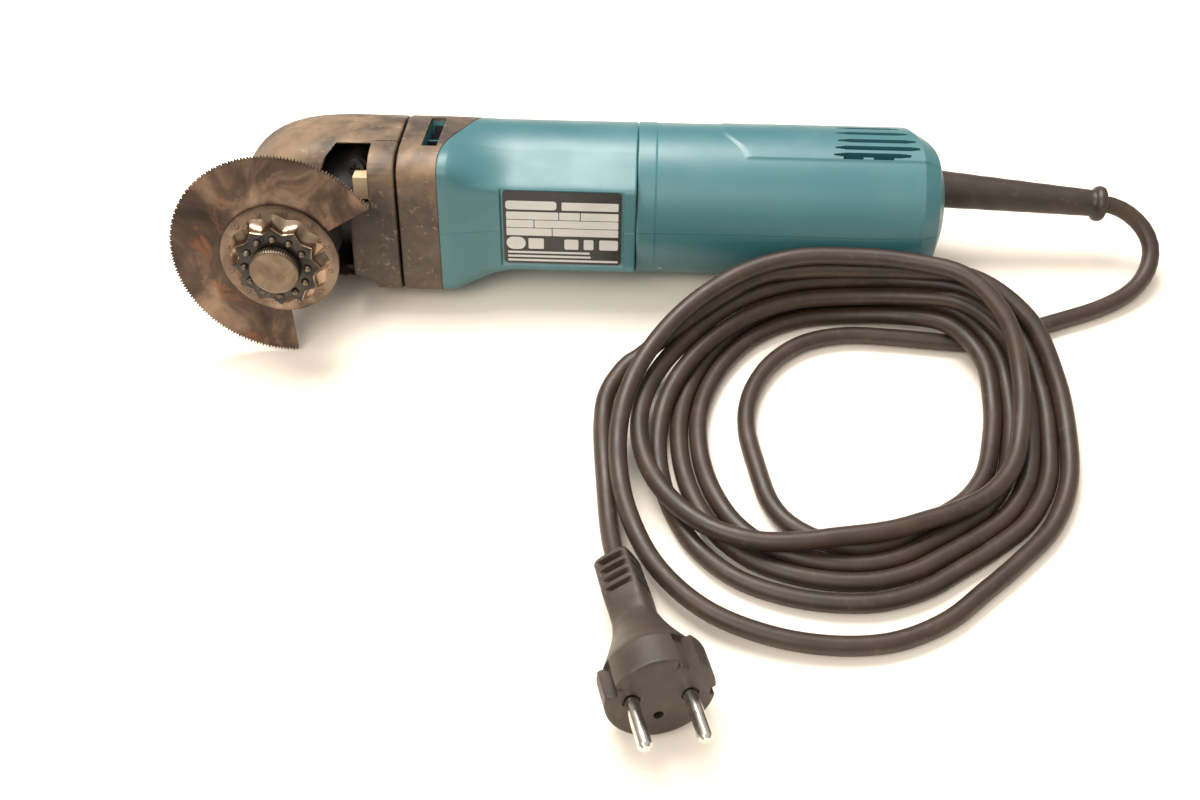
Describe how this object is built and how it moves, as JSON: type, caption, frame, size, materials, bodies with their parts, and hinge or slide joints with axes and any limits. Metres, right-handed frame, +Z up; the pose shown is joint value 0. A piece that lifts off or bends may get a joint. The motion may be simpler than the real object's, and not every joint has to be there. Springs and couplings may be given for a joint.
{
  "type": "oscillating multi tool",
  "caption": "Corded oscillating multi tool lying on its side with a segment saw blade, keyless clamp lever, slide switch, speed dial and a coiled mains cord.",
  "frame": {"origin": "middle of the tool's box on the floor it lies on, cord and plug left out", "axes": "+X along the tool from blade to cord, +Z up from the floor, the blade faces -Y and a little up"},
  "size_m": [0.3959, 0.2841, 0.0845],
  "materials": {
    "teal_plastic": "satin moulded, scuffed",
    "grip_rubber": "matte, dusty",
    "dark_casting": "painted die casting",
    "nameplate_foil": "printed foil, blank",
    "black_plastic": "fine grain",
    "white_plastic": "plain",
    "lamp_window": "frosted",
    "circuit_board": "solder resist",
    "seal_rubber": "matte",
    "bearing_steel": "ground",
    "machined_steel": "turned",
    "lamination_steel": "stacked sheet",
    "copper_winding": "enamelled copper wire",
    "brush_brass": "pressed",
    "carbon": "pressed carbon",
    "capacitor_film": "moulded",
    "blade_steel": "rolled steel with heat tint and rust",
    "hub_steel": "pressed steel, worn bright",
    "tarnished_steel": "tarnished nickel",
    "cord_rubber": "matte rubber",
    "plug_rubber": "moulded rubber",
    "pin_nickel": "nickel plate"
  },
  "bodies": {
    "housing": {"head_cover": "grip_rubber", "head_chin": "grip_rubber", "gear_housing": "dark_casting", "front_grip": "grip_rubber", "motor_housing": "teal_plastic", "nameplate": "nameplate_foil", "handle_left": "teal_plastic", "handle_right": "teal_plastic", "lamp_lens": "lamp_window", "lamp_board": "circuit_board", "dust_seal": "seal_rubber", "lower_bearing_outer": "bearing_steel", "upper_bearing_outer": "bearing_steel", "front_motor_bearing_outer": "bearing_steel", "rear_motor_bearing_outer": "bearing_steel", "stator_core": "lamination_steel", "field_coils": "copper_winding", "air_baffle": "black_plastic", "brush_holders": "brush_brass", "brushes": "carbon", "brush_springs": "bearing_steel", "switch_body": "black_plastic", "speed_board": "circuit_board", "noise_capacitor": "capacitor_film", "gear_screws": "machined_steel", "nose_screws": "machined_steel", "handle_screws": "machined_steel", "cord_guard": "cord_rubber", "cord_clamp": "black_plastic", "clamp_screws": "machined_steel", "lever_pin": "bearing_steel", "cord_lead": "cord_rubber", "cord_coil": "cord_rubber", "cord_tail": "cord_rubber", "plug_body": "plug_rubber", "plug_pins": "pin_nickel"},
    "armature": {"armature_shaft": "bearing_steel", "armature_core": "lamination_steel", "armature_windings": "copper_winding", "commutator": "copper_winding", "cooling_fan": "black_plastic", "front_motor_bearing_inner": "bearing_steel", "rear_motor_bearing_inner": "bearing_steel", "eccentric_bearing": "bearing_steel", "counterweight": "machined_steel"},
    "spindle": {"tool_holder": "tarnished_steel", "swing_fork": "machined_steel", "lower_bearing_inner": "bearing_steel", "upper_bearing_inner": "bearing_steel"},
    "clamp_bolt": {"clamp_bolt": "tarnished_steel"},
    "clamp_rod": {"clamp_rod": "bearing_steel"},
    "blade": {"saw_blade": "blade_steel", "blade_hub": "hub_steel"},
    "clamp_lever": {"clamp_lever": "black_plastic", "lever_cam": "machined_steel"},
    "slide_switch": {"slide_switch": "black_plastic", "switch_link": "white_plastic"},
    "speed_dial": {"speed_dial": "black_plastic"}
  },
  "joints": [
    {"name": "armature_spin", "type": "hinge", "parent": "housing", "child": "armature", "pos_m": [-0.14412, 0.01683, 0.031], "axis": [1, 0, 0], "continuous": true},
    {"name": "spindle_swing", "type": "hinge", "parent": "housing", "child": "spindle", "pos_m": [-0.14412, 0.01683, 0.031], "axis": [0, -0.9778, 0.2096], "range_deg": [-1.6, 1.6]},
    {"name": "bolt_slide", "type": "slide", "parent": "spindle", "child": "clamp_bolt", "axis": [0, -0.9778, 0.2096], "range_m": [0, 0.05]},
    {"name": "blade_slide", "type": "slide", "parent": "spindle", "child": "blade", "axis": [0, -0.9778, 0.2096], "range_m": [0, 0.025]},
    {"name": "lever_swing", "type": "hinge", "parent": "housing", "child": "clamp_lever", "pos_m": [-0.14412, 0.04558, 0.02484], "axis": [0, 0.2096, 0.9778], "range_deg": [0, 110]},
    {"name": "rod_slide", "type": "slide", "parent": "spindle", "child": "clamp_rod", "axis": [0, -0.9778, 0.2096], "range_m": [0, 0.0015]},
    {"name": "switch_slide", "type": "slide", "parent": "housing", "child": "slide_switch", "axis": [-1, 0, 0], "range_m": [0, 0.007]},
    {"name": "dial_turn", "type": "hinge", "parent": "housing", "child": "speed_dial", "pos_m": [0.09188, 0.04088, 0.02584], "axis": [0, 0.2096, 0.9778], "range_deg": [0, 270]}
  ],
  "couplings": [
    {"joint": "blade_slide", "follows": "bolt_slide", "ratio": 0.5},
    {"joint": "lever_swing", "follows": "rod_slide", "rad_per_m": 1279.9}
  ]
}
